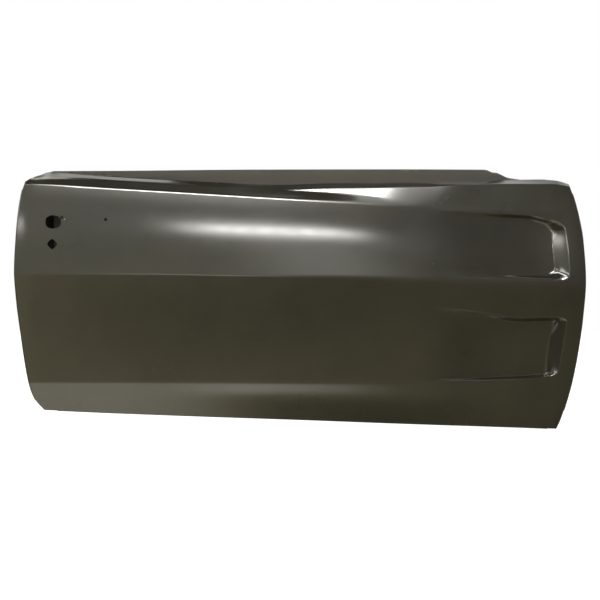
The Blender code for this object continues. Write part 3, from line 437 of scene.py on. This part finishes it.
belt_columns = slice(column_near(belt_fold_rear), column_near(belt_fold_front) + 1)
belt_edge = points[-1, belt_columns]
belt_up = belt_edge - points[-2, belt_columns]
belt_up[:, 0] = 0
belt_up = unit(belt_up)
belt_normal = np.stack([0 * belt_up[:, 0], -belt_up[:, 2], belt_up[:, 1]], -1)
belt_angle = (math.pi / 2 + np.arctan2(belt_up[:, 2], belt_up[:, 1]))[:, None]
belt_centre = belt_edge - belt_normal * belt_fold
belt_rows = [belt_edge] + folded(belt_centre, belt_fold, belt_normal, belt_up, belt_angle)
belt_rows.append(belt_rows[-1] - np.array([0, 0, belt_flange]))
skin = from_patches("door_skin", [points, rear_hem.swapaxes(0, 1)[:, ::-1], front_hem.swapaxes(0, 1),
                                  sill_hem[::-1], np.array(belt_rows)])
solid = skin.modifiers.new("Sheet", "SOLIDIFY")
solid.thickness = skin_sheet
solid.offset = -1
solid.use_even_offset = True


# Holes of the skin
def rounded(width, height, corner, steps, turn=0.0):
    """Outline of a rectangle with round corners, turned about its middle."""
    out = []
    for k, (sx, sz) in enumerate(((1, 1), (-1, 1), (-1, -1), (1, -1))):
        for n in range(steps + 1):
            a = math.pi / 2 * (k + n / steps)
            u = sx * (width / 2 - corner) + corner * math.cos(a)
            v = sz * (height / 2 - corner) + corner * math.sin(a)
            out.append((u * math.cos(turn) - v * math.sin(turn), u * math.sin(turn) + v * math.cos(turn)))
    return out


def disc(diameter, sides):
    angles = [2 * math.pi * k / sides for k in range(sides)]
    return [(diameter / 2 * math.cos(angle), diameter / 2 * math.sin(angle)) for angle in angles]


handle_at = np.array((0.0690 * door_length, 0.7970 * door_height))
lock_at = np.array((0.0672 * door_length, 0.7124 * door_height))
stud_at = np.array((0.1606 * door_length, 0.8060 * door_height))
handle_width, handle_height, handle_corner = 0.037, 0.0305, 0.0145
lock_width, lock_height, lock_corner = 0.0245, 0.0252, 0.006
lock_side_share = 0.792  # side of the rounded diamond for each metre from corner to corner
stud_hole = pin_hole = 0.007
pin_bridge = 0.001
pin_turn = math.pi / 2 * 0.36
pin_reach = handle_corner + pin_bridge + pin_hole / 2
pin_at = handle_at + (handle_width / 2 - handle_corner + pin_reach * math.cos(pin_turn),
                      handle_height / 2 - handle_corner + pin_reach * math.sin(pin_turn))
handle_steps, lock_steps, disc_sides = 12, 8, 40
cutter_depth = 0.06
sharp_skin_angle = 40

handle_outline = rounded(handle_width, handle_height, handle_corner, handle_steps)
lock_outline = rounded(lock_width * lock_side_share, lock_height * lock_side_share, lock_corner, lock_steps,
                       math.pi / 4)
bm = bmesh.new()
for outline, (x, z) in ((handle_outline, handle_at), (lock_outline, lock_at),
                        (disc(stud_hole, disc_sides), stud_at), (disc(pin_hole, disc_sides), pin_at)):
    ends = [[bm.verts.new(Vector((x + u, y, z + v)) - Vector(origin)) for u, v in outline]
            for y in (0, cutter_depth)]
    for k in range(len(outline)):
        n = (k + 1) % len(outline)
        bm.faces.new((ends[0][k], ends[0][n], ends[1][n], ends[1][k]))
    bm.faces.new(ends[0])
    bm.faces.new(ends[1])
bmesh.ops.recalc_face_normals(bm, faces=bm.faces)
cutter = object_from("hole_cutter", bm)
holes = skin.modifiers.new("Holes", "BOOLEAN")
holes.operation = "DIFFERENCE"
holes.solver = "EXACT"
holes.object = cutter
apply_modifiers(skin)
skin.data.set_sharp_from_angle(angle=math.radians(sharp_skin_angle))
bpy.data.objects.remove(cutter)
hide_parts("outer_skin")
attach(skin, "root")

# A small locating pip beside the pin hole: a closed dome that stands out of the skin
pip_at = np.array((0.12006, 0.48840))
pip_radius, pip_height, pip_depth = 0.0034, 0.0009, skin_sheet / 4
pip_sunk = skin_sheet / 8
pip_rings, pip_spokes = 9, 33
rings = np.linspace(0, 1, pip_rings)[:, None] * pip_radius
turns = np.linspace(0, 2 * math.pi, pip_spokes)[None, :]
pip_points, pip_normals = on_skin(pip_at[0] + rings * np.cos(turns), pip_at[1] + rings * np.sin(turns))
dome = (1 - (rings / pip_radius) ** 2) ** 1.5 + 0 * turns
crown, foot = (pip_points + pip_normals * (height * dome - pip_sunk)[..., None]
               for height in (pip_height, -pip_depth))
pip = from_patches("locating_pip", [crown[::-1], foot])
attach(pip, "root")


# Materials
def new_material(name):
    material = bpy.data.materials.new(name)
    material.use_nodes = True
    tree = material.node_tree
    return material, tree, tree.nodes["Principled BSDF"]


def node(tree, kind, **settings):
    """A new shader node, with its inputs and its own properties set by name."""
    made = tree.nodes.new(kind)
    for key, value in settings.items():
        if key in made.inputs:
            made.inputs[key].default_value = value
        else:
            setattr(made, key, value)
    return made


def add_bump(tree, shader, height, strength, distance):
    bump = node(tree, "ShaderNodeBump", Strength=strength, Distance=distance)
    tree.links.new(height.outputs["Fac"], bump.inputs["Height"])
    tree.links.new(bump.outputs["Normal"], shader.inputs["Normal"])


def noise(tree, where, **settings):
    made = node(tree, "ShaderNodeTexNoise", **settings)
    tree.links.new(where.outputs["Object"], made.inputs["Vector"])
    return made


# The coat: how much darker and lighter its clouds are and where in their noise, and how its sheen varies
cloud_dark, cloud_light = (0.80, 0.80, 0.80), (1.22, 1.16, 1.08)
cloud_from, cloud_to = 0.35, 0.68
sheen_from, sheen_to = 0.3, 0.7
sheen_less, sheen_more = 0.008, 0.017
peel_height = 0.00002
coat_ior = 1.5

# The mastic: its grain's two greys, the grain's strength and height, and its roughness
grain_dark, grain_light = (0.055, 0.055, 0.058), (0.10, 0.10, 0.105)
grain_strength, grain_height = 0.5, 0.0004
mastic_roughness = 0.75


def electro_coat(name, base, roughness, peel):
    """Satin electro-coat: faint cloudiness in colour and sheen, and a fine orange peel."""
    material, tree, shader = new_material(name)
    where = node(tree, "ShaderNodeTexCoord")
    cloud = noise(tree, where, Scale=5.0, Detail=4.0, Roughness=0.6)
    tint = node(tree, "ShaderNodeValToRGB")
    ends = ((cloud_from, cloud_dark), (cloud_to, cloud_light))
    for element, (position, factors) in zip(tint.color_ramp.elements, ends):
        element.position = position
        element.color = (*[c * factor for c, factor in zip(base, factors)], 1)
    tree.links.new(cloud.outputs["Fac"], tint.inputs["Fac"])
    tree.links.new(tint.outputs["Color"], shader.inputs["Base Color"])
    film = noise(tree, where, Scale=38.0, Detail=5.0, Roughness=0.55)
    sheen = node(tree, "ShaderNodeMapRange", **{"From Min": sheen_from, "From Max": sheen_to,
                                                "To Min": roughness - sheen_less,
                                                "To Max": roughness + sheen_more})
    tree.links.new(film.outputs["Fac"], sheen.inputs["Value"])
    tree.links.new(sheen.outputs["Result"], shader.inputs["Roughness"])
    add_bump(tree, shader, noise(tree, where, Scale=420.0, Detail=2.0, Roughness=0.5), peel, peel_height)
    shader.inputs["IOR"].default_value = coat_ior
    return material


def mastic_pad(name):
    """Matt grey anti-flutter mastic with a coarse grain."""
    material, tree, shader = new_material(name)
    grain = noise(tree, node(tree, "ShaderNodeTexCoord"), Scale=260.0, Detail=4.0)
    tint = node(tree, "ShaderNodeValToRGB")
    for element, colour in zip(tint.color_ramp.elements, (grain_dark, grain_light)):
        element.color = (*colour, 1)
    tree.links.new(grain.outputs["Fac"], tint.inputs["Fac"])
    tree.links.new(tint.outputs["Color"], shader.inputs["Base Color"])
    add_bump(tree, shader, grain, grain_strength, grain_height)
    shader.inputs["Roughness"].default_value = mastic_roughness
    return material


def dress(obj, material):
    obj.data.materials.clear()
    obj.data.materials.append(material)


def shading_group(degrees):
    """Geometry nodes that shade a mesh smooth except over edges of more than an angle."""
    group = bpy.data.node_groups.new("shade_by_angle", "GeometryNodeTree")
    group.interface.new_socket("Geometry", in_out="INPUT", socket_type="NodeSocketGeometry")
    group.interface.new_socket("Geometry", in_out="OUTPUT", socket_type="NodeSocketGeometry")
    start, end = group.nodes.new("NodeGroupInput"), group.nodes.new("NodeGroupOutput")
    angle = group.nodes.new("GeometryNodeInputMeshEdgeAngle")
    flat = group.nodes.new("FunctionNodeCompare")
    flat.operation = "LESS_THAN"
    flat.inputs["B"].default_value = math.radians(degrees)
    faces = group.nodes.new("GeometryNodeSetShadeSmooth")
    edges = group.nodes.new("GeometryNodeSetShadeSmooth")
    edges.domain = "EDGE"
    group.links.new(start.outputs[0], faces.inputs["Geometry"])
    group.links.new(faces.outputs["Geometry"], edges.inputs["Geometry"])
    group.links.new(angle.outputs["Unsigned Angle"], flat.inputs["A"])
    group.links.new(flat.outputs["Result"], edges.inputs["Shade Smooth"])
    group.links.new(edges.outputs["Geometry"], end.inputs[0])
    return group


coat = electro_coat("satin_electro_coat", base=(0.020, 0.0185, 0.0125), roughness=0.11, peel=0.12)
inner_coat = electro_coat("inner_electro_coat", base=(0.022, 0.0195, 0.0138), roughness=0.40, peel=0.4)
mastic = mastic_pad("anti_flutter_mastic")
dress(skin, coat)
dress(pip, coat)
sharp_node_angle = 38
node_weld_distance = 0.00001
shading = shading_group(sharp_node_angle)
for name, obj in nodes.items():
    if name != "outer_skin":
        dress(obj, mastic if name.startswith("mastic") else inner_coat)
        weld = obj.modifiers.new("Weld", "WELD")
        weld.merge_threshold = node_weld_distance
        shade = obj.modifiers.new("Shade", "NODES")
        shade.node_group = shading

# Camera: far off and a little above the middle of the skin, so that the door shows square on
middle = Vector((-0.6130, -0.070, -0.18123))
camera_distance = 12.0
camera_rise = 0.6
film_width, view_width = 36, 1.393
camera_sees_to = 60
camera_data = bpy.data.cameras.new("camera")
camera = bpy.data.objects.new("camera", camera_data)
scene.collection.objects.link(camera)
scene.camera = camera
camera_height = camera_distance * math.tan(math.radians(camera_rise))
camera.location = middle + Vector((0, -camera_distance, camera_height))
camera.rotation_euler = (middle - camera.location).to_track_quat("-Z", "Y").to_euler()
camera_data.lens = film_width * camera_distance / view_width
camera_data.clip_end = camera_sees_to

# Studio lamps, unseen in the reflections: name, azimuth and elevation as seen from the skin's middle, width,
# height and power. Straight out of the door the azimuth is 0, and it grows towards the front of the car
lamp_distance = 5.0
lamps = [("main_lamp", -1.2, 16.6, 0.62, 0.10, 9),
         ("ceiling_lamp", -1.0, 36, 0.80, 0.95, 60),
         ("left_lamp", -33, 13, 1.9, 0.34, 30)]
for name, azimuth, elevation, width, height, power in lamps:
    data = bpy.data.lights.new(name, "AREA")
    data.shape = "RECTANGLE"
    data.size = width
    data.size_y = height
    data.energy = power
    lamp = bpy.data.objects.new(name, data)
    scene.collection.objects.link(lamp)
    a, e = math.radians(azimuth), math.radians(elevation)
    lamp.location = middle + lamp_distance * Vector((math.sin(a) * math.cos(e), -math.cos(a) * math.cos(e),
                                                     math.sin(e)))
    lamp.rotation_euler = (middle - lamp.location).to_track_quat("-Z", "Y").to_euler()
    lamp.visible_camera = False
    lamp.visible_glossy = False

# The floor is white to the camera, and a part of what it shows is lit, which keeps the door's shadow
floor_half, floor_drop = 14, 0.0005
floor_colour, floor_colour_seen, floor_glow_seen = 0.86, 0.36, 0.82
floor_roughness = 0.9
bm = bmesh.new()
bmesh.ops.create_grid(bm, x_segments=1, y_segments=1, size=floor_half)
floor = object_from("floor", bm)
floor.location = (middle[0], 0, cad_low[2] - floor_drop)
material, tree, shader = new_material("pale_floor")
path = node(tree, "ShaderNodeLightPath")
base = node(tree, "ShaderNodeMix", data_type="RGBA")
base.inputs["A"].default_value = (floor_colour, floor_colour, floor_colour, 1)
base.inputs["B"].default_value = (floor_colour_seen, floor_colour_seen, floor_colour_seen, 1)
tree.links.new(path.outputs["Is Camera Ray"], base.inputs["Factor"])
tree.links.new(base.outputs["Result"], shader.inputs["Base Color"])
shown = node(tree, "ShaderNodeMath", operation="MULTIPLY")
shown.inputs[1].default_value = floor_glow_seen
tree.links.new(path.outputs["Is Camera Ray"], shown.inputs[0])
tree.links.new(shown.outputs[0], shader.inputs["Emission Strength"])
shader.inputs["Emission Color"].default_value = (1, 1, 1, 1)
shader.inputs["Roughness"].default_value = floor_roughness
dress(floor, material)
floor.visible_glossy = False

# The dim room round the door, seen only in its reflections: a dome that is brighter on the left, with darker
# strips and soft patches of light. Its places are given in degrees, by azimuth and by a height that runs over
# the top, from 0 in front to 180 behind. A pair is where a change starts and over how much it comes in, and
# is counted downwards, or to the left, for low_left_from and the three pairs with under in their names
right_level, left_more, left_fades = 0.42, 0.80, (-10, 25)
far_floor_height, far_floor_width, far_floor_dark, far_floor_from = -9, 5.0, 0.62, (-16, 9)
far_floor_open, far_floor_opens = 0.55, (3, 5)
low_left_dark, low_left_from, low_left_under = 0.85, (22, 6), (-4, 8)
near_floor_dark, near_floor_under, middle_from, middle_to = 0.55, (38, 8), (-3.5, 3), (4, 5)
ceiling_dark, ceiling_from, ceiling_open, ceiling_opens = 0.82, (62, 14), 0.67, (4, 5)
behind_from, warm_under, cool_from = (150, 20), (-4, 16), (8, 8)
room_tint = np.array((1, 1, 0.80))
warm_tint = np.array((0.06, -0.06, -0.22))
cool_tint = np.array((0, 0, 0.10))
behind_tint = np.array((0, 0, 0.20))
patch_tint = np.array((1.0, 0.99, 0.95))

# Soft patches: level, the azimuths and the heights between which they lie, how soft their sides and their
# ends are, and how much they rise with the azimuth
room_patches = [(58.0, -4.2, 3.3, 14.9, 16.2, 1.8, 1.3, 0.24),
                (64.0, -7.4, 2.0, 28.0, 44.5, 1.8, 3.0, 0.0),
                (60.0, 2.0, 2.9, 40.6, 44.5, 1.4, 2.0, 0.0),
                (2.4, -8.0, 1.0, 22.5, 28.0, 3.0, 3.0, 0.0),
                (5.6, -14.0, 5.0, 45.0, 59.0, 6.0, 6.0, 0.0),
                (1.9, 3.5, 6.6, 33.0, 46.0, 1.8, 4.0, 0.0),
                (22.0, -34.0, -12.0, 49.0, 64.0, 5.0, 5.0, 0.0),
                (2.9, 2.6, 40.0, 94.0, 130.0, 1.2, 10.0, 0.0),
                (12.0, -46.0, -24.0, 15.5, 26.0, 8.0, 4.0, 0.0),
                (9.0, -20.0, -13.5, 9.5, 13.0, 2.0, 2.0, 0.0),
                (2.0, -1.0, 3.8, 2.0, 12.5, 3.6, 5.0, 0.0),
                (0.3, -4.0, 5.0, 2.0, 26.0, 5.0, 6.0, 0.0),
                (0.28, 7.5, 15.0, 9.0, 22.0, 4.0, 8.0, 0.0),
                (3.2, -8.5, -1.5, -3.0, 0.5, 2.5, 2.0, 0.0),
                (1.5, -22.0, -2.0, -38.0, -26.0, 4.0, 8.0, 0.0),
                (1.5, -22.0, -4.0, -62.0, -38.0, 4.0, 6.0, 0.0),
                (1.8, -3.5, 2.5, -37.5, -27.0, 3.0, 5.0, 0.0),
                (3.4, -75.0, 75.0, 160.0, 180.0, 20.0, 12.0, 0.0),
                (0.7, -75.0, 75.0, -178.0, -165.0, 20.0, 12.0, 0.0)]


def between(value, low, high, soft):
    """1 between low and high, with ends that are soft to both sides."""
    return window(value, low - soft / 2, high - soft / 2, soft)


def room_light(azimuth, over):
    """Colours of the light that comes from azimuths and heights over the top."""
    level = right_level + left_more * (1 - after(azimuth, *left_fades))
    far_floor = np.exp(-((over - far_floor_height) / far_floor_width) ** 2) * after(azimuth, *far_floor_from)
    level = level * (1 - far_floor_dark * far_floor * (1 - far_floor_open * after(azimuth, *far_floor_opens)))
    level = level * (1 - low_left_dark * after(-azimuth, *low_left_from) * after(-over, *low_left_under))
    middle_only = after(azimuth, *middle_from) * (1 - after(azimuth, *middle_to))
    level = level * (1 - near_floor_dark * middle_only * after(-over, *near_floor_under))
    ceiling = ceiling_dark - ceiling_open * after(azimuth, *ceiling_opens)
    level = level * (1 - ceiling * after(over, *ceiling_from))
    behind = after(np.abs(over), *behind_from)
    level = level + (1 - level) * behind
    warm = after(-over, *warm_under) * (1 - behind)
    cool = after(over, *cool_from) * (1 - behind)
    tints = ((warm, warm_tint), (cool, cool_tint), (behind, behind_tint))
    light = level[..., None] * (room_tint + sum(share[..., None] * tint for share, tint in tints))
    for strength, left_end, right_end, low, high, side_soft, soft, lean in room_patches:
        patch = between(azimuth, left_end, right_end, side_soft)
        patch = patch * between(over - lean * azimuth, low, high, soft)
        light = light + strength * patch[..., None] * patch_tint
    return light


room_radius = 24.0
room_ends, room_columns, room_rows = 89, 268, 541
azimuths, overs = np.meshgrid(np.radians(np.linspace(-room_ends, room_ends, room_columns)),
                              np.radians(np.linspace(-180, 180, room_rows)))
directions = np.stack([np.sin(azimuths), -np.cos(azimuths) * np.cos(overs),
                       np.cos(azimuths) * np.sin(overs)], -1)
walls = from_patches("room", [room_radius * directions + np.array(middle) + origin])
at = np.array([vertex.co for vertex in walls.data.vertices]) - np.array(middle)
light = room_light(np.degrees(np.arcsin(np.clip(at[:, 0] / room_radius, -1, 1))),
                   np.degrees(np.arctan2(at[:, 2], -at[:, 1])))
painted_light = walls.data.color_attributes.new("light", "FLOAT_COLOR", "POINT")
painted_light.data.foreach_set("color", np.concatenate([light, np.ones((len(light), 1))], -1).ravel())
material, tree, shader = new_material("dim_room")
tree.nodes.remove(shader)
glow = node(tree, "ShaderNodeEmission", Strength=1.0)
painted = node(tree, "ShaderNodeVertexColor", layer_name="light")
tree.links.new(painted.outputs["Color"], glow.inputs["Color"])
tree.links.new(glow.outputs["Emission"], tree.nodes["Material Output"].inputs["Surface"])
dress(walls, material)
for flag in ("camera", "diffuse", "shadow", "transmission", "volume_scatter"):
    setattr(walls, "visible_" + flag, False)

# A white world: dimmer on the door than where it is seen, mirrored or looked through
world_level, world_level_seen = 0.6, 1.0
world = bpy.data.worlds.new("studio")
scene.world = world
world.use_nodes = True
tree = world.node_tree
background = tree.nodes["Background"]
path = node(tree, "ShaderNodeLightPath")
seen = node(tree, "ShaderNodeMath", operation="MAXIMUM")
seen_through = node(tree, "ShaderNodeMath", operation="MAXIMUM")
tree.links.new(path.outputs["Is Camera Ray"], seen.inputs[0])
tree.links.new(path.outputs["Is Glossy Ray"], seen.inputs[1])
tree.links.new(seen.outputs[0], seen_through.inputs[0])
tree.links.new(path.outputs["Is Transmission Ray"], seen_through.inputs[1])
level = node(tree, "ShaderNodeMapRange", **{"To Min": world_level, "To Max": world_level_seen})
tree.links.new(seen_through.outputs[0], level.inputs["Value"])
tree.links.new(level.outputs["Result"], background.inputs["Strength"])
background.inputs["Color"].default_value = (1, 1, 1, 1)

scene.view_settings.view_transform = "Standard"
